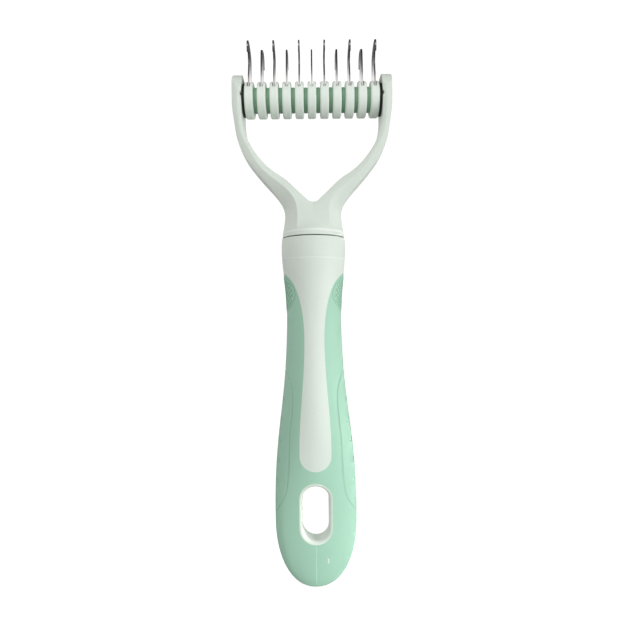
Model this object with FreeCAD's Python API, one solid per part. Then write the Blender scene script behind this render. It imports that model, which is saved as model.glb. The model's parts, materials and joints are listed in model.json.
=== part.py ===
"""Pet deshedding tool: a moulded handle with a soft grip, a Y-shaped fork and a tilting drum of hook blades.

Units are millimetres.  The tool stands upright: the origin is at the bottom end of the handle on its centre
line, +Z runs along the handle towards the blades, +X is to the right seen from the front, the front is -Y.
"""
import FreeCAD, Part
import math
import os
from FreeCAD import Placement, Rotation, Vector

# ---- driving dimensions -------------------------------------------------------------------------------------

# handle, heights from its bottom end
HANDLE_TOP = 123.6
TOE_END = 25.0                  # the toe's outline is a superellipse below this height
TOE_POWER = 2.2
TOE_HALF_WIDTH = 14.45
TOE_START = 0.25                # cuts off the superellipse's tip, so that the toe ends in a small flat
GRIP_THICKNESS = 1.6
CORE_TOE = 6.0                  # the hard core ends here, inside the soft grip

# height, half width (x) and half thickness (y) of the handle above the toe
HANDLE_STATIONS = [
    (TOE_END, 14.45, 3.95),
    (34.0, 14.4, 4.7),
    (44.0, 13.95, 6.3),
    (54.0, 13.05, 8.2),
    (66.0, 11.6, 9.8),
    (78.0, 10.4, 10.3),
    (88.0, 9.85, 10.15),
    (97.0, 9.65, 10.0),
    (106.0, 10.1, 10.2),
    (114.0, 11.0, 10.9),
    (120.0, 11.35, 11.3),
    (HANDLE_TOP, 11.2, 11.2),
]
TOE_HEIGHTS = [0.0, 0.5, 1.6, 3.4, 6.0, 9.5, 14.0, 19.5]
TOE_HALF_THICKNESS = 3.8

# the hard strip that shows between the grips, front and back: right-hand edge, x against height
STRIP_EDGE = [(14.0, 113.2), (10.4, 111.4), (7.3, 108.0), (5.05, 102.5), (3.7, 95.0),
              (3.4, 86.0), (4.2, 71.4), (5.2, 58.4), (5.5, 47.9)]
STRIP_END_RADIUS = 5.5

# hanging slot, an obround hole along Y with a hard rim
SLOT_HEIGHT = 27.1
SLOT_RADIUS = 4.6
SLOT_LENGTH = 19.6
RIM_WIDTH = 1.25
RIM_ROUNDING = 1.0

# engraved panel line on each side of the grip, half of it: y against height
PANEL_EDGE = [(0.0, 77.6), (6.1, 74.2), (7.3, 66.0), (6.2, 56.0), (5.0, 46.5), (3.4, 35.5), (1.9, 29.3),
              (0.0, 26.6)]
PANEL_LINE_WIDTH = 0.4
PANEL_LINE_DEPTH = 0.3

# finger grooves inside each panel, flat below and arched above, in pairs with a land between front and back
GROOVE_LOWEST = 30.6
GROOVE_PITCH = 7.2
GROOVE_COUNT = 6
GROOVE_HEIGHT = 1.6
GROOVE_DEPTH = 0.4
GROOVE_REACH = 0.62             # how far it reaches along Y, as a share of the panel's half width
GROOVE_LAND = 1.4

# plug joint between fork and handle
PLUG_RADIUS = 7.2
PLUG_LENGTH = 21.0
PLUG_CLEARANCE = 0.05
PLUG_END_GAP = 1.0
BEAD_RADIUS = 0.5
BEAD_DROP = 12.0                # bead centre below the handle's top
SEAM_GAP = 0.45
SEAM_INSET = 1.2

# fork
COLLAR_TOP = 126.4
COLLAR_RADIUS = 10.95
COLLAR_TOP_RADIUS = 10.75
ARM_INNER_X = 24.35
ARM_OUTER_X = 27.75
ARM_TOP = 181.9
ARM_STRAIGHT = 168.6            # above this height the arm's sides are parallel
ARM_HALF_DEPTH = 7.0
ARM_CORNER_OUTER = 2.2
ARM_CORNER_INNER = 0.6
SADDLE_RADIUS = 2.7

# drum
AXIS_Z = 173.4
RING_COUNT = 11
PITCH = 4.415
RING_RADIUS = 6.2
RING_WIDTH = 3.04
RING_EDGE = 0.6
SPACER_RADIUS = 4.2
SPACER_BEAD = 0.12              # height of the low bead round the middle of a spacer
SPACER_BEAD_WIDTH = 0.5
AXLE_RADIUS = 2.0
AXLE_FLAT = 1.6                 # distance from the axle's axis to each of its two flats
AXLE_END_RADIUS = 1.5
AXLE_END_X = 26.3
AXLE_SHOULDER_GAP = 0.3         # between the flatted middle of the axle and the arm
KEY_CLEARANCE = 0.02
BEARING_CLEARANCE = 0.05
BEARING_END_X = 26.6
POCKET_RADIUS = 6.6
POCKET_DEPTH = 0.2
WASHER_RADIUS = 5.6
WASHER_GAP = 0.1                # axial play at each end
LEAD_IN_WIDTH = 1.2
LEAD_IN_DEPTH = 0.35

# stops that limit the drum's tilt
TILT_LIMIT = 30.0
STOP_RADIUS = 4.5               # from the drum's axis to the stop peg
STOP_PEG_RADIUS = 0.45
STOP_PEG_LENGTH = 0.8
STOP_PEG_ROOT = 0.5             # how far it runs into the arm
STOP_CLEARANCE = 0.08

# blades
BLADE_THICKNESS = 0.5
BLADE_HALF_WIDTH = 4.3
BLADE_SIDE_CLEARANCE = 0.02
BLADE_EDGE_CLEARANCE = 0.05
NOTCH_WIDTH = 1.15
NOTCH_DEPTH = 0.9
NOTCH_ANGLE = 61.0              # half angle that the notch covers, before its round ends

RING_X = [(i - (RING_COUNT - 1) / 2) * PITCH for i in range(RING_COUNT)]
STACK_END_X = RING_X[-1] + RING_WIDTH / 2
POCKET_X = ARM_INNER_X + POCKET_DEPTH
X_AXIS = Vector(1, 0, 0)
DRUM_CENTRE = Vector(0, 0, AXIS_Z)
BEYOND = 20.0                   # far enough to pass right through the handle or an arm
OVERCUT = 2.0                   # how far a cutting shape runs out of the surface that it cuts
ON_PLANE = 0.01                 # tolerance for finding edges by their place


# ---- helpers ------------------------------------------------------------------------------------------------

def spline(points):
    """An open smooth curve through the points."""
    curve = Part.BSplineCurve()
    curve.interpolate(points)
    return curve.toShape()


def line(start, end):
    return Part.makeLine(start, end)


def arc(start, middle, end):
    return Part.Arc(start, middle, end).toShape()


def prism(edges, direction):
    """The solid swept by a closed flat outline along a vector."""
    return Part.Face(Part.Wire(edges)).extrude(direction)


def block(low, high):
    """A box between two corners."""
    size = high - low
    return Part.makeBox(size.x, size.y, size.z, low)


def cylinder_x(radius, x_low, x_high, centre=DRUM_CENTRE):
    """A cylinder along X."""
    return Part.makeCylinder(radius, x_high - x_low, Vector(x_low, centre.y, centre.z), X_AXIS)


def obround(radius, length, height, half_depth):
    """An upright obround prism along Y, centred on the handle's centre line."""
    straight = length / 2 - radius
    top = height + straight
    bottom = height - straight
    y = -half_depth
    edges = [
        arc(Vector(radius, y, top), Vector(0, y, top + radius), Vector(-radius, y, top)),
        line(Vector(-radius, y, top), Vector(-radius, y, bottom)),
        arc(Vector(-radius, y, bottom), Vector(0, y, bottom - radius), Vector(radius, y, bottom)),
        line(Vector(radius, y, bottom), Vector(radius, y, top)),
    ]
    return prism(edges, Vector(0, 2 * half_depth, 0))


def mirrored_x(shape):
    return shape.mirror(Vector(0, 0, 0), X_AXIS)


# ---- handle -------------------------------------------------------------------------------------------------

def toe_fraction(height):
    """Width of the toe at a height, as a share of its full width."""
    above_tip = TOE_START + height * (TOE_END - TOE_START) / TOE_END
    below_end = (TOE_END - above_tip) / TOE_END
    return (1 - below_end ** TOE_POWER) ** (1 / TOE_POWER)


def handle_stations():
    """Height, half width and half thickness from the bottom end to the top."""
    toe = [(z, TOE_HALF_WIDTH * toe_fraction(z), TOE_HALF_THICKNESS * toe_fraction(z)) for z in TOE_HEIGHTS]
    return toe + HANDLE_STATIONS


def oval(height, half_width, half_thickness, count=16):
    """A closed elliptical wire at a height."""
    points = []
    for i in range(count):
        angle = 2 * math.pi * i / count
        points.append(Vector(half_width * math.cos(angle), half_thickness * math.sin(angle), height))
    curve = Part.BSplineCurve()
    curve.interpolate(Points=points, PeriodicFlag=True)
    return Part.Wire(curve.toShape())


def handle_body(inset=0.0, start=0.0):
    """The handle's outer form, made smaller all round by inset, from the height start upwards."""
    sections = [oval(z, a - inset, b - inset) for z, a, b in handle_stations() if z >= start]
    return Part.makeLoft(sections, True, False)


def strip_prism():
    """Everything that stays hard plastic outside the grips: the collar and the long front and back strips."""
    y = -BEYOND
    right = [Vector(x, y, z) for x, z in STRIP_EDGE]
    left = [Vector(-x, y, z) for x, z in STRIP_EDGE]
    end_height = STRIP_EDGE[-1][1]
    top = HANDLE_TOP + OVERCUT
    wide = STRIP_EDGE[0][0]
    edges = [
        spline(right),
        arc(right[-1], Vector(0, y, end_height - STRIP_END_RADIUS), left[-1]),
        spline(list(reversed(left))),
        line(left[0], Vector(-wide, y, top)),
        line(Vector(-wide, y, top), Vector(wide, y, top)),
        line(Vector(wide, y, top), right[0]),
    ]
    return prism(edges, Vector(0, 2 * BEYOND, 0))


def hanging_slot():
    return obround(SLOT_RADIUS, SLOT_LENGTH, SLOT_HEIGHT, BEYOND)


def slot_rim():
    return obround(SLOT_RADIUS + RIM_WIDTH, SLOT_LENGTH + 2 * RIM_WIDTH, SLOT_HEIGHT, BEYOND)


def plug_socket():
    """The bore that takes the fork's plug, with the groove for its snap bead."""
    radius = PLUG_RADIUS + PLUG_CLEARANCE
    depth = PLUG_LENGTH + PLUG_END_GAP
    bore = Part.makeCylinder(radius, depth, Vector(0, 0, HANDLE_TOP - depth))
    groove = Part.makeTorus(PLUG_RADIUS, BEAD_RADIUS + PLUG_CLEARANCE, Vector(0, 0, HANDLE_TOP - BEAD_DROP))
    return bore.fuse(groove)


def round_rim(shape):
    """Rounds the two mouths of the hanging slot."""
    mouths = []
    for edge in shape.Edges:
        box = edge.BoundBox
        on_wall = max(abs(box.XMin), abs(box.XMax)) < SLOT_RADIUS + ON_PLANE
        beside_slot = abs(box.Center.z - SLOT_HEIGHT) < SLOT_LENGTH / 2 + ON_PLANE
        through = box.YLength > TOE_HALF_THICKNESS
        if on_wall and beside_slot and not through:
            mouths.append(edge)
    return shape.makeFillet(RIM_ROUNDING, mouths)


def handle_core():
    """Hard plastic: collar, front and back strips, the inner bone under the grips and the slot's rim."""
    bone = handle_body(GRIP_THICKNESS, CORE_TOE)
    shown = handle_body().common(strip_prism().fuse(slot_rim()))
    core = bone.fuse(shown).removeSplitter()
    return round_rim(core.cut(hanging_slot())).cut(plug_socket())


def panel_outline(side, grow):
    """The panel as a prism out through one side of the handle, its outline grown by a distance."""
    middle = (PANEL_EDGE[0][1] + PANEL_EDGE[-1][1]) / 2
    half_height = (PANEL_EDGE[0][1] - PANEL_EDGE[-1][1]) / 2
    wide = max(y for y, z in PANEL_EDGE)
    back = [Vector(0, y * (1 + grow / wide), middle + (z - middle) * (1 + grow / half_height))
            for y, z in PANEL_EDGE]
    front = [Vector(0, -p.y, p.z) for p in reversed(back[1:-1])]
    curve = Part.BSplineCurve()
    curve.interpolate(Points=back + front, PeriodicFlag=True)
    return Part.Face(Part.Wire(curve.toShape())).extrude(Vector(side * BEYOND, 0, 0))


def panel_line(side):
    """The engraved line round a side panel: a thin band, from its depth outwards."""
    band = panel_outline(side, PANEL_LINE_WIDTH / 2).cut(panel_outline(side, -PANEL_LINE_WIDTH / 2))
    return band.cut(handle_body(PANEL_LINE_DEPTH))


def panel_reach(height):
    """Half width of the panel, along Y, at a height."""
    for (y0, z0), (y1, z1) in zip(PANEL_EDGE, PANEL_EDGE[1:]):
        if z1 <= height <= z0:
            return y0 + (y1 - y0) * (height - z0) / (z1 - z0)


def finger_grooves(side, low):
    """A front and a back recess in the side of the grip, flat along the lower edge and arched above it."""
    reach = GROOVE_REACH * panel_reach(low)
    shoulder = low + 0.75 * GROOVE_HEIGHT
    start = Vector(0, -reach, low)
    end = Vector(0, reach, low)
    arch = spline([end, Vector(0, 0.8 * reach, shoulder), Vector(0, 0, low + GROOVE_HEIGHT),
                   Vector(0, -0.8 * reach, shoulder), start])
    whole = prism([line(start, end), arch], Vector(side * BEYOND, 0, 0))
    half = GROOVE_LAND / 2
    land = block(Vector(-BEYOND, -half, low - OVERCUT), Vector(BEYOND, half, low + GROOVE_HEIGHT + OVERCUT))
    return whole.cut(land).cut(handle_body(GROOVE_DEPTH))


def grip_overmold():
    """Soft plastic over the bone: both sides and the whole toe, open round the strips and the slot."""
    hard = handle_body(GRIP_THICKNESS, CORE_TOE).fuse(strip_prism()).fuse(slot_rim())
    grip = handle_body().cut(hard)
    for side in (-1, 1):
        grip = grip.cut(panel_line(side))
        for i in range(GROOVE_COUNT):
            grip = grip.cut(finger_grooves(side, GROOVE_LOWEST + i * GROOVE_PITCH))
    return grip


# ---- fork ---------------------------------------------------------------------------------------------------

# The right half of the fork, from the arm's top down to the round collar.  A ridge runs along its front and
# its back.  Each row holds three points in front elevation (x and z), on the outer edge, on the ridge and on
# the inner edge, then the half depths at those points.  In the neck the inner edge lies past the centre plane,
# where the half is cut off.
FORK_STATIONS = [
    ((27.95, 188.0), (25.75, 188.0), (24.35, 188.0), 6.2, 7.0, 6.5),
    ((27.85, 177.0), (25.75, 177.0), (24.35, 177.0), 6.2, 7.0, 6.5),
    ((27.65, 168.6), (25.75, 168.8), (24.50, 169.0), 5.9, 6.7, 6.1),
    ((27.00, 163.3), (25.40, 163.6), (24.20, 163.9), 5.2, 6.0, 5.4),
    ((26.20, 158.5), (24.40, 159.1), (23.10, 159.5), 4.8, 5.6, 5.0),
    ((24.60, 154.1), (22.60, 155.4), (21.55, 156.1), 4.5, 5.4, 4.9),
    ((20.65, 148.1), (19.05, 149.4), (17.65, 150.6), 4.3, 5.3, 4.7),
    ((16.55, 143.2), (14.90, 145.2), (13.55, 146.9), 4.0, 5.4, 4.6),
    ((13.20, 139.4), (10.85, 142.0), (9.20, 143.8), 3.6, 5.8, 4.9),
    ((10.90, 135.9), (7.35, 138.3), (4.60, 139.2), 3.1, 6.6, 5.9),
    ((9.95, 133.0), (5.60, 134.0), (-0.60, 134.0), 2.8, 7.5, 7.2),
    ((9.85, 130.9), (5.35, 131.2), (-2.50, 131.2), 2.7, 8.0, 7.9),
    ((10.10, 128.9), (5.45, 128.9), (-3.10, 129.0), 2.4, 8.5, 8.9),
]
FACE_BULGE = 0.12               # how far each face bulges out of the straight line between its corners
NECK_RADIUS = 10.6              # the neck ends as this circle, just inside the collar
NECK_END = 125.9
NECK_SPREAD = [-20.0, 32.0, 72.0]   # where the three edges meet that circle, degrees from the front
SECTION_STEP = 2.6              # distance between lofted sections along the ridge


def bulged(start, end):
    """The middle of a face between two corners of a section, moved outwards."""
    along = end - start
    outwards = Vector(along.y, -along.x, 0)
    outwards.normalize()
    return (start + end) / 2 + outwards * FACE_BULGE


def station_points(outer, ridge, inner, outer_y, ridge_y, inner_y):
    """The front half of a section, from the inner edge round to the middle of the outer face."""
    a = Vector(inner[0], -inner_y, inner[1])
    b = Vector(ridge[0], -ridge_y, ridge[1])
    c = Vector(outer[0], -outer_y, outer[1])
    return [a, bulged(a, b), b, bulged(b, c), c, Vector(c.x + FACE_BULGE, 0, c.z)]


def neck_end_points():
    """The same six points, on the circle where the neck meets the collar."""
    inner, ridge, outer = NECK_SPREAD
    points = []
    for angle in (inner, (inner + ridge) / 2, ridge, (ridge + outer) / 2, outer, 90.0):
        turn = math.radians(angle)
        points.append(Vector(NECK_RADIUS * math.sin(turn), -NECK_RADIUS * math.cos(turn), NECK_END))
    return points


def section(front):
    """A closed section wire from its front half."""
    loop = front + [Vector(p.x, -p.y, p.z) for p in reversed(front[:-1])]
    loop += [(loop[-1] + loop[0]) / 2, loop[0]]
    return Part.Wire([spline(loop[i:i + 3]) for i in range(0, len(loop) - 1, 2)])


def fork_half():
    """The right arm and its half of the neck."""
    stations = [station_points(*row) for row in FORK_STATIONS] + [neck_end_points()]
    ridge = [points[2] for points in stations]
    along = [0.0]
    for start, end in zip(ridge, ridge[1:]):
        along.append(along[-1] + start.distanceToPoint(end))
    paths = []
    for points in zip(*stations):
        path = Part.BSplineCurve()
        path.interpolate(Points=list(points), Parameters=along)
        paths.append(path)
    count = round(along[-1] / SECTION_STEP)
    places = [along[-1] * i / count for i in range(count + 1)]
    whole = Part.makeLoft([section([path.value(place) for path in paths]) for place in places], True, False)
    return whole.common(block(Vector(0, -BEYOND, NECK_END), Vector(2 * BEYOND, BEYOND, ARM_TOP + OVERCUT)))


def side_trim():
    """Everything within the arm's half round end in side view."""
    centre = ARM_TOP - ARM_HALF_DEPTH
    round_end = Part.makeCylinder(ARM_HALF_DEPTH, ARM_OUTER_X + BEYOND, Vector(0, 0, centre), X_AXIS)
    below = block(Vector(-OVERCUT, -BEYOND, NECK_END), Vector(ARM_OUTER_X + BEYOND, BEYOND, centre))
    return round_end.fuse(below)


def front_trim():
    """Everything below the arm's top in front view, with its two rounded corners."""
    below = block(Vector(-OVERCUT, -BEYOND, NECK_END), Vector(2 * BEYOND, BEYOND, ARM_STRAIGHT))
    end = block(Vector(ARM_INNER_X, -BEYOND, ARM_STRAIGHT), Vector(ARM_OUTER_X, BEYOND, ARM_TOP))
    for x, radius in ((ARM_INNER_X, ARM_CORNER_INNER), (ARM_OUTER_X, ARM_CORNER_OUTER)):
        corner = []
        for edge in end.Edges:
            box = edge.BoundBox
            on_top = box.ZMin > ARM_TOP - ON_PLANE
            at_x = abs(box.XMin - x) < ON_PLANE and abs(box.XMax - x) < ON_PLANE
            if on_top and at_x:
                corner.append(edge)
        end = end.makeFillet(radius, corner)
    return below.fuse(end)


def collar():
    """The round foot of the fork, the seam's shadow gap and the plug with its snap bead."""
    seam = Part.makeCylinder(COLLAR_RADIUS - SEAM_INSET, SEAM_GAP, Vector(0, 0, HANDLE_TOP))
    base = HANDLE_TOP + SEAM_GAP
    foot = Part.makeCone(COLLAR_RADIUS, COLLAR_TOP_RADIUS, COLLAR_TOP - base, Vector(0, 0, base))
    plug = Part.makeCylinder(PLUG_RADIUS, PLUG_LENGTH, Vector(0, 0, HANDLE_TOP - PLUG_LENGTH))
    bead = Part.makeTorus(PLUG_RADIUS, BEAD_RADIUS, Vector(0, 0, HANDLE_TOP - BEAD_DROP))
    return seam.fuse(foot).fuse(plug).fuse(bead)


def arm_sockets():
    """What is cut out of the right arm: the round pocket, the axle's blind bearing hole and the lead-in."""
    pocket = cylinder_x(POCKET_RADIUS, ARM_INNER_X - OVERCUT, POCKET_X)
    bearing = cylinder_x(AXLE_END_RADIUS + BEARING_CLEARANCE, ARM_INNER_X, BEARING_END_X)
    lead_in = block(Vector(ARM_INNER_X, -2 * ARM_HALF_DEPTH, AXIS_Z - LEAD_IN_WIDTH / 2),
                    Vector(POCKET_X + LEAD_IN_DEPTH, 0, AXIS_Z + LEAD_IN_WIDTH / 2))
    return pocket.fuse(bearing).fuse(lead_in)


def stop_peg():
    """A peg on the right pocket's floor, below the axle, that runs in the washer's arc slot."""
    centre = Vector(0, 0, AXIS_Z - STOP_RADIUS)
    return cylinder_x(STOP_PEG_RADIUS, POCKET_X - STOP_PEG_LENGTH, POCKET_X + STOP_PEG_ROOT, centre)


def round_saddle(shape):
    """Rounds the bottom of the V between the arms."""
    crease = []
    for edge in shape.Edges:
        box = edge.BoundBox
        on_centre = max(abs(box.XMin), abs(box.XMax)) < ON_PLANE
        front_to_back = box.YLength > box.ZLength
        if on_centre and front_to_back and box.ZMin > COLLAR_TOP:
            crease.append(edge)
    return shape.makeFillet(SADDLE_RADIUS, crease)


def fork():
    arm = fork_half().common(side_trim()).common(front_trim())
    yoke = round_saddle(arm.fuse(mirrored_x(arm)).removeSplitter())
    sockets = arm_sockets()
    yoke = yoke.cut(sockets).cut(mirrored_x(sockets))
    return yoke.fuse(stop_peg()).fuse(mirrored_x(stop_peg())).fuse(collar()).removeSplitter()


# ---- drum ---------------------------------------------------------------------------------------------------

def keyed_bore(x_low, x_high):
    """The double-flatted hole that keys a piece to the axle."""
    round_hole = cylinder_x(AXLE_RADIUS + KEY_CLEARANCE, x_low, x_high)
    flat = AXLE_FLAT + KEY_CLEARANCE
    between_flats = block(Vector(x_low, -flat, AXIS_Z - BEYOND), Vector(x_high, flat, AXIS_Z + BEYOND))
    return round_hole.common(between_flats)


def axle():
    """Steel axle: double-flatted through the stack, round where it turns in the arms."""
    end = POCKET_X - AXLE_SHOULDER_GAP
    between_flats = block(Vector(-end, -AXLE_FLAT, AXIS_Z - BEYOND), Vector(end, AXLE_FLAT, AXIS_Z + BEYOND))
    middle = cylinder_x(AXLE_RADIUS, -end, end).common(between_flats)
    return middle.fuse(cylinder_x(AXLE_END_RADIUS, -AXLE_END_X, AXLE_END_X)).removeSplitter()


def sector(x_low, x_high, r_low, r_high, start, sweep):
    """A piece of a tube along X; angles in degrees from straight up, positive towards the front."""
    profile = Part.makePolygon([Vector(x_low, 0, AXIS_Z + r_low), Vector(x_high, 0, AXIS_Z + r_low),
                                Vector(x_high, 0, AXIS_Z + r_high), Vector(x_low, 0, AXIS_Z + r_high),
                                Vector(x_low, 0, AXIS_Z + r_low)])
    piece = Part.Face(profile).revolve(DRUM_CENTRE, X_AXIS, sweep)
    piece.rotate(DRUM_CENTRE, X_AXIS, start)
    return piece


def blade_ring(x):
    """A rounded ring that carries one blade: keyed bore, blade slot and the notch at the blade's root."""
    half = RING_WIDTH / 2
    ring = cylinder_x(RING_RADIUS, x - half, x + half)
    rims = [e for e in ring.Edges if isinstance(e.Curve, Part.Circle)]
    ring = ring.makeFillet(RING_EDGE, rims)
    slot_half = BLADE_THICKNESS / 2 + BLADE_SIDE_CLEARANCE
    reach = BLADE_HALF_WIDTH + BLADE_EDGE_CLEARANCE
    slot = block(Vector(x - slot_half, -reach, AXIS_Z), Vector(x + slot_half, reach, AXIS_Z + BEYOND))
    slot = slot.fuse(cylinder_x(reach, x - slot_half, x + slot_half))
    ring = ring.cut(slot).cut(keyed_bore(x - half, x + half))
    return ring.cut(blade_notch(x))


def blade_notch(x):
    """The relief along the ring's crown, wider than the blade, with round ends at front and back."""
    half = NOTCH_WIDTH / 2
    floor = RING_RADIUS - NOTCH_DEPTH
    notch = sector(x - half, x + half, floor, RING_RADIUS + OVERCUT, -NOTCH_ANGLE, 2 * NOTCH_ANGLE)
    for turn in (-NOTCH_ANGLE, NOTCH_ANGLE):
        end = Part.makeCylinder(half, NOTCH_DEPTH + OVERCUT, Vector(x, 0, AXIS_Z + floor))
        end.rotate(DRUM_CENTRE, X_AXIS, turn)
        notch = notch.fuse(end)
    return notch


def blade(x, facing):
    """A hook blade; facing -1 hooks to the front, +1 to the back."""
    def at(u, v):
        return Vector(x - BLADE_THICKNESS / 2, facing * u, AXIS_Z + v)
    w = BLADE_HALF_WIDTH
    tip = at(6.75, 14.1)
    edges = [
        arc(at(-w, 0), at(0, -w), at(w, 0)),
        line(at(w, 0), at(w, 6.8)),
        spline([at(w, 6.8), at(3.55, 10.2), at(3.45, 13.0), at(4.4, 15.0), tip]),
        spline([tip, at(7.1, 15.9), at(6.9, 17.5), at(5.7, 18.65), at(3.0, 19.0), at(-0.2, 18.1),
                at(-2.6, 16.7), at(-3.4, 15.0)]),
        spline([at(-3.4, 15.0), at(-3.75, 12.0), at(-4.15, 8.5), at(-w, 6.0)]),
        line(at(-w, 6.0), at(-w, 0)),
    ]
    plate = prism(edges, Vector(BLADE_THICKNESS, 0, 0))
    return plate.cut(keyed_bore(x - BLADE_THICKNESS, x + BLADE_THICKNESS))


def spacer(x):
    """A collar between two rings, with a low bead round its middle."""
    half = (PITCH - RING_WIDTH) / 2
    bead_half = SPACER_BEAD_WIDTH / 2
    bead = cylinder_x(SPACER_RADIUS + SPACER_BEAD, x - bead_half, x + bead_half)
    body = cylinder_x(SPACER_RADIUS, x - half, x + half).fuse(bead)
    return body.cut(keyed_bore(x - half, x + half))


def end_washer():
    """Dark thrust washer at the right end, keyed to the axle, with the arc slot for the stop peg."""
    x_low = STACK_END_X
    x_high = POCKET_X - WASHER_GAP
    washer = cylinder_x(WASHER_RADIUS, x_low, x_high).cut(keyed_bore(x_low, x_high))
    reach = TILT_LIMIT + math.degrees((STOP_PEG_RADIUS + STOP_CLEARANCE) / STOP_RADIUS)
    half = STOP_PEG_RADIUS + STOP_CLEARANCE
    slot = sector(x_low, x_high, STOP_RADIUS - half, STOP_RADIUS + half, 180 - reach, 2 * reach)
    return washer.cut(slot)


# ---- build --------------------------------------------------------------------------------------------------

def build():
    parts = {
        "fork": fork(),
        "handle_core": handle_core(),
        "grip_overmold": grip_overmold(),
        "axle": axle(),
        "end_washer_right": end_washer(),
        "end_washer_left": mirrored_x(end_washer()),
    }
    for i, x in enumerate(RING_X):
        parts["blade_ring_%02d" % (i + 1)] = blade_ring(x)
        parts["blade_%02d" % (i + 1)] = blade(x, -1 if i % 2 == 0 else 1)
    for i, (x0, x1) in enumerate(zip(RING_X, RING_X[1:])):
        parts["spacer_%02d" % (i + 1)] = spacer((x0 + x1) / 2)
    return parts


os.makedirs("parts", exist_ok=True)
for name, shape in build().items():
    print(name, len(shape.Solids), round(shape.Volume, 2), shape.isValid())
    shape.exportStep("parts/%s.step" % name)
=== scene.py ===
"""Looks of the pet deshedding tool: materials, ground blades, moulded details, light and camera."""

import json
import math

import bmesh
import bpy
from mathutils import Matrix, Vector
from mathutils.bvhtree import BVHTree

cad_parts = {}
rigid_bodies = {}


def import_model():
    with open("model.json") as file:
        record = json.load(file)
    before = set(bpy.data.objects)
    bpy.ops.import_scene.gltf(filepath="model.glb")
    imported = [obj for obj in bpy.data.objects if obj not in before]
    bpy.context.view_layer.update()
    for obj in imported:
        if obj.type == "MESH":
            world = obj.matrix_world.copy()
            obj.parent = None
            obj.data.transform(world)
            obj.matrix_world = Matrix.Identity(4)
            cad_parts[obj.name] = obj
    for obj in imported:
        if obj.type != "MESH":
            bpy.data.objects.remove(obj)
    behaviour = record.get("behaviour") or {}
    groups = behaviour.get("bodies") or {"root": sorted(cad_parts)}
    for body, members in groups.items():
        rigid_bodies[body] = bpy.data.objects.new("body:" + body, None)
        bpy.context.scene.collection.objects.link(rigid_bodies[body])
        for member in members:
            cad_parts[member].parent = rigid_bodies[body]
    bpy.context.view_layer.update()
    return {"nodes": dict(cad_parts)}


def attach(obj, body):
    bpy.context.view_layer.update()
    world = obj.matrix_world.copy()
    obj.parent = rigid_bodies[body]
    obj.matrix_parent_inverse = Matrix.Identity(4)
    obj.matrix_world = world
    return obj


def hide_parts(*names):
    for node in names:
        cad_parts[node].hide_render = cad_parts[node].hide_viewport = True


MM = 0.001


def clear_scene():
    for thing in list(bpy.data.objects):
        bpy.data.objects.remove(thing)


clear_scene()
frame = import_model()
NODES = frame["nodes"]

# camera: in front of the tool, level, a little to its left, rolled half a degree
CAMERA_PLACE = Vector((-0.72, -178.75, 97.8)) * MM
CAMERA_ROLL = math.radians(0.56)
CAMERA_NEAR = 5 * MM
SENSOR_WIDTH = 36.0
LENS_SHARE = 0.801282           # focal length as a share of the sensor's width

# colours, linear
PALE = (0.70, 0.765, 0.69)
# rings: the pale plastic painted lighter, as painted light on the drum
LIT_RING_PALE = (0.81, 0.88, 0.80)
# flash and witness marks in pale plastic; on the foot's edge this lighter colour is a painted highlight
FLASH_AND_HIGHLIGHT_PALE = (0.80, 0.85, 0.80)
MINT = (0.365, 0.61, 0.465)
# parting-line flash, painted lighter as a highlight on its crease
FLASH_AND_HIGHLIGHT_MINT = (0.50, 0.76, 0.62)
# texture ribs and the line round each patch: the grip's mint painted darker, as painted shade in the grooves
PAINTED_SHADE_MINT = (0.22, 0.43, 0.30)
# spacers: the grip's mint painted darker, as painted shade between the rings
SHADED_SPACER_MINT = (0.25, 0.44, 0.30)
GAP_GREY = (0.03, 0.035, 0.03)
# end washers in black, which also stands in as painted shade in the gap beside the drum
BLACK = (0.006, 0.007, 0.006)
STEEL = (0.46, 0.44, 0.435)

# moulded plastics: colour, roughness, scale of the grain, its height in mm, mottle, sheen
PLASTICS = {
    "pale_plastic": (PALE, 0.42, 5200.0, 0.006, 0.025, 0.0),
    "ring_painted_light_plastic": (LIT_RING_PALE, 0.42, 5200.0, 0.006, 0.025, 0.0),
    "pale_highlight_and_flash": (FLASH_AND_HIGHLIGHT_PALE, 0.42, 5200.0, 0.004, 0.02, 0.0),
    "mint_rubber": (MINT, 0.55, 6500.0, 0.008, 0.03, 0.15),
    "mint_highlight_and_flash": (FLASH_AND_HIGHLIGHT_MINT, 0.5, 6500.0, 0.005, 0.02, 0.0),
    "mint_painted_shade": (PAINTED_SHADE_MINT, 0.6, 6500.0, 0.005, 0.02, 0.0),
    "spacer_plastic": (SHADED_SPACER_MINT, 0.45, 5200.0, 0.005, 0.02, 0.0),
    "joint_shadow": (GAP_GREY, 0.8, 5200.0, 0.005, 0.02, 0.0),
    "washer_plastic": (BLACK, 0.5, 5200.0, 0.005, 0.02, 0.0),
}
PLASTIC_IOR = 1.47
SHEEN_ROUGHNESS = 0.5
WAVE_SCALE = 420.0              # slow waviness of moulded surfaces
WAVE_HEIGHT = 0.02 * MM
WAVE_STRENGTH = 0.6
MOTTLE_SHARE = 0.45             # scale of the mottling against that of the grain

# polished sheet and rod: fine grinding lines
BLADE_ROUGHNESS = 0.16
AXLE_ROUGHNESS = 0.3
LINES_ALONG = 500.0
LINES_ACROSS = 9000.0
LINES_HEIGHT = 0.004 * MM
X_AXIS = 0
Z_AXIS = 2

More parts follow.
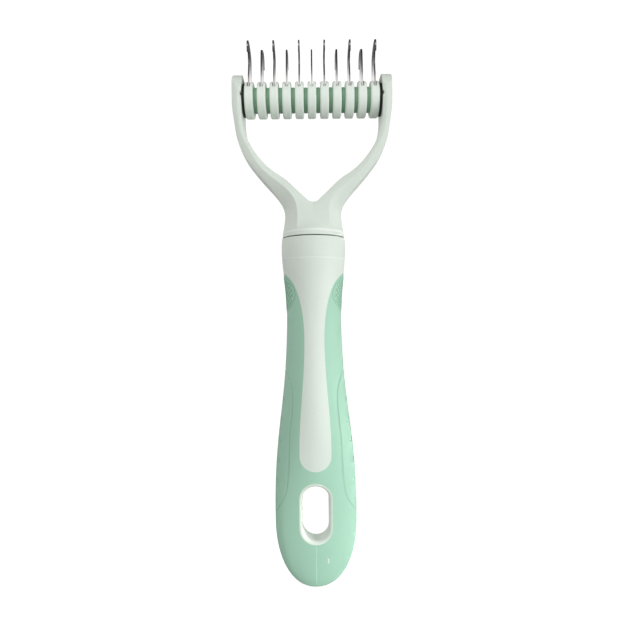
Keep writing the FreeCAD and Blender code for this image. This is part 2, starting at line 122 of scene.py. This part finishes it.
# painted reflection: how bright the steel is at each height in mm, on blades that face the front and the
# back, for the light and dark of the room mirrored in the blades
FRONT_PAINTED_REFLECTION = [
    (176.0, 1.7),
    (181.0, 1.5),
    (183.0, 1.0),
    (186.0, 0.35),
    (189.2, 0.2),
    (189.8, 1.7),
    (190.5, 1.3),
    (193.0, 1.3),
]
BACK_PAINTED_REFLECTION = [
    (176.0, 1.7),
    (180.0, 1.5),
    (182.5, 0.9),
    (184.5, 0.5),
    (188.5, 0.6),
    (190.0, 1.0),
    (193.0, 1.0),
]

# the room as light: brightness against the sine of the elevation
ROOM = [(-1.0, 0.85), (0.0, 0.85), (1.0, 0.28)]
# the room as steel mirrors it, in front of and behind the tool
MIRRORED_FRONT = [(-0.45, 0.01), (-0.1, 0.5), (0.2, 0.95), (0.46, 0.95), (0.62, 0.16), (1.0, 0.1)]
MIRRORED_BEHIND = [(-1.0, 0.9), (0.42, 1.1), (0.45, 0.08), (1.0, 0.04)]
FRONT_ENDS = -0.1               # between these depths of a direction the front blends into the back
BEHIND_STARTS = 0.2
# the room and the floor as the camera sees them
SEEN_WHITE = (1.05, 1.05, 1.05)
FLOOR_SEEN = (0.9, 0.9, 0.9)
FLOOR_GLOW_SEEN = 0.62
# the floor as light and in reflections
FLOOR_LIGHT = (0.45, 0.45, 0.45)
FLOOR_MIRRORED = (0.45, 0.45, 0.45)
FLOOR_GLOW = 0.06
FLOOR_RADIUS = 6.0
FLOOR_HEIGHT = -0.4 * MM

# soft boxes: name, place, point aimed at, size, spread in degrees, power in watts, colour
SOFT_BOXES = [
    ("soft_box_right", (0.36, -0.20, 0.045), (0, 0, 0.03), (0.3, 0.12), 180, 0.72, (0.97, 1.0, 1.0)),
    ("soft_box_front", (-0.06, -0.35, 0.36), (0, 0, 0.185), (0.3, 0.2), 180, 0.62, (1.0, 1.0, 1.0)),
    ("soft_box_toe", (0.45, -0.20, 0.08), (0.01, 0, 0.012), (0.12, 0.12), 26, 0.042, (0.97, 1.0, 1.0)),
]

# ribs and lines: places across the width, and how far each stands out as a share of the height
RIB_PROFILE = [(-0.5, -0.3), (-0.3, 0.7), (0.0, 1.0), (0.3, 0.7), (0.5, -0.3)]
RIB_END_SHARE = 0.4             # an open rib narrows to this at its ends, and sinks in
RIB_SUNK = -0.3
LOOK_FROM = 50 * MM             # how far out a line of sight starts

# texture patches on the sides of the grip
HATCH_PITCH = 1.8 * MM
HATCH_CENTRE_HEIGHT = 104.4 * MM
HATCH_HALF_HEIGHT = 6.3 * MM
HATCH_HALF_WIDTH = 7.4 * MM
HATCH_RIB = (0.24 * MM, 0.14 * MM)
HATCH_STEPS = 40
HATCH_SHORTEST = 4              # a rib of fewer points than this is left out
BORDER_GAP = 0.3 * MM
BORDER_RIB = (0.3 * MM, 0.04 * MM)
BORDER_POINTS = 64

# lines round the handle: name, height, (width, height) of the rib, material
ROUND_LINES = [
    ("ring_line", 116.2 * MM, (0.35 * MM, 0.06 * MM), "pale_highlight_and_flash"),
    ("joint_line", 123.82 * MM, (0.42 * MM, 0.05 * MM), "joint_shadow"),
    # the foot's edge: a lighter rib as a painted highlight on the lit band below the neck
    ("foot_edge", 125.6 * MM, (0.8 * MM, 0.04 * MM), "pale_highlight_and_flash"),
]
ROUND_POINTS = 96

# the toe's parting line and gate mark, in mm
PARTING_TOP = 15.6
PARTING_STEP = 0.5
PARTING_POINTS = 30
PARTING_RIB = (0.3 * MM, 0.07 * MM)
GATE_X = 4.0
GATE_BOW = 0.35
GATE_LOW = 9.2
GATE_LENGTH = 2.0
GATE_STEPS = 6
GATE_RIB = (0.5 * MM, 0.12 * MM)

# ground blades
BLADE_COUNT = 11
BLADE_BEVEL = 0.2 * MM
BEVEL_SEGMENTS = 3
MERGE_DISTANCE = 0.001 * MM
FLAT_ANGLE = math.radians(1.5)
SHARP_ANGLE = math.radians(60)
SIDE_FACE = 0.999               # a face whose normal lies along X this closely is a flat side


# ---- node helpers ----------------------------------------------------------------------------------------

def new_material(name):
    material = bpy.data.materials.new(name)
    material.use_nodes = True
    tree = material.node_tree
    shader = tree.nodes["Principled BSDF"]
    return material, tree, shader


def node(tree, kind, **inputs):
    made = tree.nodes.new(kind)
    for name, value in inputs.items():
        made.inputs[name.replace("_", " ")].default_value = value
    return made


def noise(tree, place, scale, detail=3.0, roughness=0.55):
    made = node(tree, "ShaderNodeTexNoise", Scale=scale, Detail=detail, Roughness=roughness)
    tree.links.new(place, made.inputs["Vector"])
    return made.outputs["Fac"]


def mapped(tree, value, low, high, to_low, to_high):
    made = node(tree, "ShaderNodeMapRange", From_Min=low, From_Max=high, To_Min=to_low, To_Max=to_high)
    tree.links.new(value, made.inputs["Value"])
    return made.outputs["Result"]


def axis_parts(tree, vector):
    """The outputs X, Y and Z of a vector."""
    made = node(tree, "ShaderNodeSeparateXYZ")
    tree.links.new(vector, made.inputs["Vector"])
    return made.outputs


def product(tree, first, second):
    made = node(tree, "ShaderNodeMath")
    made.operation = "MULTIPLY"
    tree.links.new(first, made.inputs[0])
    tree.links.new(second, made.inputs[1])
    return made.outputs["Value"]


def shade(tree, colour, factor):
    """The colour multiplied by a varying factor."""
    scale = node(tree, "ShaderNodeVectorMath")
    scale.operation = "SCALE"
    scale.inputs[0].default_value = colour
    tree.links.new(factor, scale.inputs["Scale"])
    return scale.outputs["Vector"]


def bump(tree, height, distance, strength=1.0, before=None):
    made = node(tree, "ShaderNodeBump", Strength=strength, Distance=distance)
    tree.links.new(height, made.inputs["Height"])
    if before is not None:
        tree.links.new(before, made.inputs["Normal"])
    return made.outputs["Normal"]


def ramp(tree, value, stops, low=-1.0, high=1.0):
    """A brightness that runs through (value, brightness) stops, for values from low to high."""
    made = tree.nodes.new("ShaderNodeValToRGB")
    tree.links.new(mapped(tree, value, low, high, 0, 1), made.inputs["Fac"])
    elements = made.color_ramp.elements
    while len(elements) < len(stops):
        elements.new(0.5)
    for element, (place, brightness) in zip(elements, stops):
        element.position = (place - low) / (high - low)
        element.color = (brightness, brightness, brightness, 1.0)
    return made.outputs["Color"]


def colour_mix(tree, factor, first, second):
    """A blend of two colours, or of the outputs of two nodes."""
    mix = node(tree, "ShaderNodeMix")
    mix.data_type = "RGBA"
    tree.links.new(factor, mix.inputs[0])
    for value, socket in ((first, mix.inputs[6]), (second, mix.inputs[7])):
        if isinstance(value, tuple):
            socket.default_value = (*value, 1.0)
        else:
            tree.links.new(value, socket)
    return mix.outputs[2]


# ---- materials -------------------------------------------------------------------------------------------

def moulded_plastic(name, colour, roughness, grain, grain_height, mottle, sheen):
    """Moulded plastic: spark-eroded grain, faint mottling of colour and gloss, slow waviness."""
    material, tree, shader = new_material(name)
    place = node(tree, "ShaderNodeTexCoord").outputs["Object"]
    fine = noise(tree, place, grain)
    slow = noise(tree, place, WAVE_SCALE, 2.0)
    patches = noise(tree, place, grain * MOTTLE_SHARE, 4.0, 0.7)
    factor = mapped(tree, patches, 0.25, 0.75, 1 - mottle, 1 + mottle)
    gloss = mapped(tree, slow, 0.3, 0.7, roughness - 0.05, roughness + 0.06)
    wave = bump(tree, slow, WAVE_HEIGHT, WAVE_STRENGTH)
    tree.links.new(shade(tree, colour, factor), shader.inputs["Base Color"])
    tree.links.new(gloss, shader.inputs["Roughness"])
    tree.links.new(bump(tree, fine, grain_height * MM, 1.0, wave), shader.inputs["Normal"])
    shader.inputs["IOR"].default_value = PLASTIC_IOR
    shader.inputs["Sheen Weight"].default_value = sheen
    shader.inputs["Sheen Roughness"].default_value = SHEEN_ROUGHNESS
    return material


def steel(name, roughness, along, painted_reflection=None):
    """Stainless steel with fine grinding lines along one axis, with painted reflections darker or brighter by
    height where a table of them is given.
    """
    material, tree, shader = new_material(name)
    place = node(tree, "ShaderNodeTexCoord").outputs["Object"]
    stretch = node(tree, "ShaderNodeMapping")
    stretch.inputs["Scale"].default_value = [LINES_ALONG if i == along else LINES_ACROSS for i in range(3)]
    tree.links.new(place, stretch.inputs["Vector"])
    lines = noise(tree, stretch.outputs["Vector"], 1.0, 3.0, 0.6)
    factor = mapped(tree, lines, 0.3, 0.7, 0.86, 1.12)
    if painted_reflection:
        stops = [(height * MM, brightness) for height, brightness in painted_reflection]
        by_height = ramp(tree, axis_parts(tree, place)["Z"], stops, stops[0][0], stops[-1][0])
        factor = product(tree, factor, by_height)
    gloss = mapped(tree, lines, 0.3, 0.7, roughness - 0.06, roughness + 0.1)
    tree.links.new(shade(tree, STEEL, factor), shader.inputs["Base Color"])
    tree.links.new(gloss, shader.inputs["Roughness"])
    tree.links.new(bump(tree, lines, LINES_HEIGHT), shader.inputs["Normal"])
    shader.inputs["Metallic"].default_value = 1.0
    return material


def make_materials():
    made = {name: moulded_plastic(name, *look) for name, look in PLASTICS.items()}
    made["front_blade_steel"] = steel("front_blade_steel", BLADE_ROUGHNESS, Z_AXIS, FRONT_PAINTED_REFLECTION)
    made["back_blade_steel"] = steel("back_blade_steel", BLADE_ROUGHNESS, Z_AXIS, BACK_PAINTED_REFLECTION)
    made["axle_steel"] = steel("axle_steel", AXLE_ROUGHNESS, X_AXIS)
    return made


def material_name(part):
    """The material of a CAD part, by the part's name."""
    if part.startswith("spacer"):
        # spacers painted darker, as painted shade
        return "spacer_plastic"
    if part.startswith("blade_ring"):
        # rings painted lighter, as painted light
        return "ring_painted_light_plastic"
    if part.startswith("blade"):
        return "front_blade_steel"
    if part.startswith("end_washer"):
        # black washers, also painted shade in the gap beside the drum
        return "washer_plastic"
    if part == "axle":
        return "axle_steel"
    if part == "grip_overmold":
        return "mint_rubber"
    return "pale_plastic"


def paint(obj, material):
    obj.data.materials.clear()
    obj.data.materials.append(material)


# ---- stage -----------------------------------------------------------------------------------------------

def make_camera():
    data = bpy.data.cameras.new("camera")
    data.sensor_width = SENSOR_WIDTH
    data.lens = SENSOR_WIDTH * LENS_SHARE
    data.clip_start = CAMERA_NEAR
    camera = bpy.data.objects.new("camera", data)
    bpy.context.scene.collection.objects.link(camera)
    turn = Matrix.Rotation(CAMERA_ROLL, 4, "Y") @ Matrix.Rotation(math.radians(90), 4, "X")
    camera.matrix_world = Matrix.Translation(CAMERA_PLACE) @ turn
    bpy.context.scene.camera = camera


def make_floor():
    place = (0, 0, FLOOR_HEIGHT)
    bpy.ops.mesh.primitive_circle_add(vertices=96, radius=FLOOR_RADIUS, fill_type="NGON", location=place)
    floor = bpy.context.object
    floor.name = "floor"
    material, tree, shader = new_material("floor_white")
    path = node(tree, "ShaderNodeLightPath")
    light = colour_mix(tree, path.outputs["Is Glossy Ray"], FLOOR_LIGHT, FLOOR_MIRRORED)
    colour = colour_mix(tree, path.outputs["Is Camera Ray"], light, FLOOR_SEEN)
    glow = mapped(tree, path.outputs["Is Camera Ray"], 0, 1, FLOOR_GLOW, FLOOR_GLOW_SEEN)
    tree.links.new(colour, shader.inputs["Base Color"])
    tree.links.new(glow, shader.inputs["Emission Strength"])
    shader.inputs["Emission Color"].default_value = (1, 1, 1, 1)
    shader.inputs["Roughness"].default_value = 1.0
    shader.inputs["Specular IOR Level"].default_value = 0.0
    paint(floor, material)


def soft_box(name, place, aim, size, spread, power, colour):
    """A rectangular light that the camera and reflections don't show."""
    data = bpy.data.lights.new(name, "AREA")
    data.shape = "RECTANGLE"
    data.size, data.size_y = size
    data.energy = power
    data.color = colour
    data.spread = math.radians(spread)
    light = bpy.data.objects.new(name, data)
    bpy.context.scene.collection.objects.link(light)
    light.location = place
    light.rotation_mode = "QUATERNION"
    light.rotation_quaternion = (Vector(aim) - Vector(place)).to_track_quat("-Z", "Y")
    light.visible_camera = False
    light.visible_glossy = False


def make_world():
    """White behind the tool for the camera, an even room for light, a darker studio in reflections."""
    world = bpy.data.worlds.new("studio")
    bpy.context.scene.world = world
    world.use_nodes = True
    tree = world.node_tree
    direction = axis_parts(tree, node(tree, "ShaderNodeTexCoord").outputs["Generated"])
    path = node(tree, "ShaderNodeLightPath")
    front = ramp(tree, direction["Z"], MIRRORED_FRONT)
    behind = ramp(tree, direction["Z"], MIRRORED_BEHIND)
    to_behind = mapped(tree, direction["Y"], FRONT_ENDS, BEHIND_STARTS, 0, 1)
    mirrored = colour_mix(tree, to_behind, front, behind)
    room = ramp(tree, direction["Z"], ROOM)
    light = colour_mix(tree, path.outputs["Is Glossy Ray"], room, mirrored)
    seen = colour_mix(tree, path.outputs["Is Camera Ray"], light, SEEN_WHITE)
    tree.links.new(seen, tree.nodes["Background"].inputs["Color"])


# ---- moulded details -------------------------------------------------------------------------------------

class Surface:
    """Finds points on CAD parts by looking at them along a direction."""

    def __init__(self, *names):
        self.trees = []
        for name in names:
            mesh = NODES[name].data
            points = [v.co.copy() for v in mesh.vertices]
            self.trees.append(BVHTree.FromPolygons(points, [p.vertices for p in mesh.polygons]))

    def hit(self, start, direction):
        """The nearest point and its outward normal, or None."""
        best = None
        for tree in self.trees:
            place, normal, _, distance = tree.ray_cast(Vector(start), Vector(direction))
            if place is not None and (best is None or distance < best[2]):
                if normal.dot(Vector(direction)) > 0:
                    normal = -normal
                best = (place, normal, distance)
        return best[:2] if best else None

    def from_side(self, side, y, z):
        """Looks inwards along X, from the left (-1) or the right (1)."""
        return self.hit((side * LOOK_FROM, y, z), (-side, 0, 0))

    def from_front(self, side, x, z):
        """Looks inwards along Y, from the front (-1) or the back (1)."""
        return self.hit((x, side * LOOK_FROM, z), (0, -side, 0))


def rib_ring(path, i, width, height, closed):
    """The points of a rib's profile at one point of its path."""
    place, normal = path[i]
    last = len(path) - 1
    before = path[i - 1][0] if i or closed else place
    after = path[(i + 1) % len(path)][0] if i < last or closed else place
    across = (after - before).normalized().cross(normal).normalized()
    ring = []
    for u, v in RIB_PROFILE:
        if not closed and i in (0, last):
            u, v = RIB_END_SHARE * u, RIB_SUNK
        ring.append(place + across * (u * width) + normal * (v * height))
    return ring


def rib_mesh(paths, width, height, closed=False):
    """Low rounded ribs along paths of (point, normal), a little sunk into the surface."""
    points = []
    faces = []
    steps = len(RIB_PROFILE)
    for path in paths:
        count = len(path)
        first = len(points)
        for i in range(count):
            points.extend(rib_ring(path, i, width, height, closed))
        for i in range(count if closed else count - 1):
            a = first + i * steps
            b = first + ((i + 1) % count) * steps
            for k in range(steps - 1):
                faces.append((a + k, a + k + 1, b + k + 1, b + k))
    mesh = bpy.data.meshes.new("rib")
    mesh.from_pydata([tuple(p) for p in points], [], faces)
    mesh.shade_smooth()
    return mesh


def add_piece(name, mesh, material, body):
    piece = bpy.data.objects.new(name, mesh)
    bpy.context.scene.collection.objects.link(piece)
    paint(piece, material)
    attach(piece, body)
    return piece


def found_points(places):
    """The places that lie on the part, without the misses."""
    return [place for place in places if place]


def hatch_path(surface, side, offset, slant):
    """One diagonal rib of a texture patch, inside the patch's oval outline."""
    path = []
    for i in range(HATCH_STEPS + 1):
        y = HATCH_HALF_WIDTH * (2 * i / HATCH_STEPS - 1)
        z = offset + slant * y
        share = abs(z) / HATCH_HALF_HEIGHT
        if share < 1 and abs(y) <= HATCH_HALF_WIDTH * math.sqrt(1 - share * share):
            path.append(surface.from_side(side, y, HATCH_CENTRE_HEIGHT + z))
    return found_points(path)


def hatch_patches(surface, material):
    """Crossed diagonal ribs below the top of each grip, coloured darker as painted shade between them."""
    count = int((HATCH_HALF_WIDTH + HATCH_HALF_HEIGHT) / HATCH_PITCH)
    for side, name in ((-1, "hatch_left"), (1, "hatch_right")):
        paths = []
        for slant in (-1, 1):
            for i in range(-count, count + 1):
                path = hatch_path(surface, side, i * HATCH_PITCH, slant)
                if len(path) >= HATCH_SHORTEST:
                    paths.append(path)
        add_piece(name, rib_mesh(paths, *HATCH_RIB), material, "handle")


def hatch_borders(surface, material):
    """The thin line round each texture patch, painted dark as the shade of a groove."""
    for side, name in ((-1, "hatch_border_left"), (1, "hatch_border_right")):
        path = []
        for i in range(BORDER_POINTS):
            turn = 2 * math.pi * i / BORDER_POINTS
            y = (HATCH_HALF_WIDTH + BORDER_GAP) * math.cos(turn)
            z = HATCH_CENTRE_HEIGHT + (HATCH_HALF_HEIGHT + BORDER_GAP) * math.sin(turn)
            path.append(surface.from_side(side, y, z))
        mesh = rib_mesh([found_points(path)], *BORDER_RIB, closed=True)
        add_piece(name, mesh, material, "handle")


def parting_lines(surface, material):
    """The mould's parting line down the toe, front and back, its rib painted lighter as a highlight."""
    heights = [(PARTING_TOP - PARTING_STEP * i) * MM for i in range(PARTING_POINTS)]
    for side, name in ((-1, "parting_line_front"), (1, "parting_line_back")):
        path = found_points(surface.from_front(side, 0, z) for z in heights)
        add_piece(name, rib_mesh([path], *PARTING_RIB), material, "handle")


def gate_mark(surface, material):
    """The small raised moulding mark on the front of the toe."""
    path = []
    for i in range(GATE_STEPS + 1):
        rise = i / GATE_STEPS
        x = (GATE_X + GATE_BOW * math.sin(math.pi * rise)) * MM
        z = (GATE_LOW + GATE_LENGTH * rise) * MM
        path.append(surface.from_front(-1, x, z))
    add_piece("gate_mark", rib_mesh([path], *GATE_RIB), material, "handle")


def line_round(name, surface, line_height, rib, material):
    """A thin line all round the handle: a moulding witness, the shadow in a joint or the edge of the foot
    painted lighter as a highlight.
    """
    path = []
    for i in range(ROUND_POINTS):
        turn = 2 * math.pi * i / ROUND_POINTS
        outwards = Vector((math.cos(turn), math.sin(turn), 0))
        start = outwards * LOOK_FROM + Vector((0, 0, line_height))
        path.append(surface.hit(start, -outwards))
    add_piece(name, rib_mesh([path], *rib, closed=True), material, "handle")


def ground_blade(name, material):
    """The CAD blade with its edges rounded by grinding, in place of the sharp plate."""
    mesh = bmesh.new()
    mesh.from_mesh(NODES[name].data)
    bmesh.ops.remove_doubles(mesh, verts=mesh.verts, dist=MERGE_DISTANCE)
    bmesh.ops.dissolve_limit(mesh, angle_limit=FLAT_ANGLE, verts=mesh.verts, edges=mesh.edges)
    rim = [e for e in mesh.edges if len(e.link_faces) == 2 and e.calc_face_angle() > SHARP_ANGLE]
    bmesh.ops.bevel(
        mesh,
        geom=rim,
        offset=BLADE_BEVEL,
        segments=BEVEL_SEGMENTS,
        profile=0.5,
        affect="EDGES",
        clamp_overlap=True,
    )
    for face in mesh.faces:
        face.smooth = abs(face.normal.x) < SIDE_FACE
    data = bpy.data.meshes.new("ground_" + name)
    mesh.to_mesh(data)
    mesh.free()
    piece = add_piece("ground_" + name, data, material, "drum")
    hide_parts(name)


# ---- build -----------------------------------------------------------------------------------------------

def dress_frame():
    """Materials for the CAD parts, and the pieces made here."""
    materials = make_materials()
    for name, part in NODES.items():
        paint(part, materials[material_name(name)])
    for i in range(1, BLADE_COUNT + 1):
        facing = "front_blade_steel" if i % 2 else "back_blade_steel"
        ground_blade("blade_%02d" % i, materials[facing])
    grip = Surface("grip_overmold")
    hatch_patches(grip, materials["mint_painted_shade"])
    hatch_borders(grip, materials["mint_painted_shade"])
    parting_lines(grip, materials["mint_highlight_and_flash"])
    gate_mark(grip, materials["pale_highlight_and_flash"])
    handle = Surface("handle_core", "fork")
    for name, line_height, rib, material in ROUND_LINES:
        line_round(name, handle, line_height, rib, materials[material])


dress_frame()
make_camera()
make_floor()
for box in SOFT_BOXES:
    soft_box(*box)
make_world()
bpy.context.scene.view_settings.view_transform = "Standard"
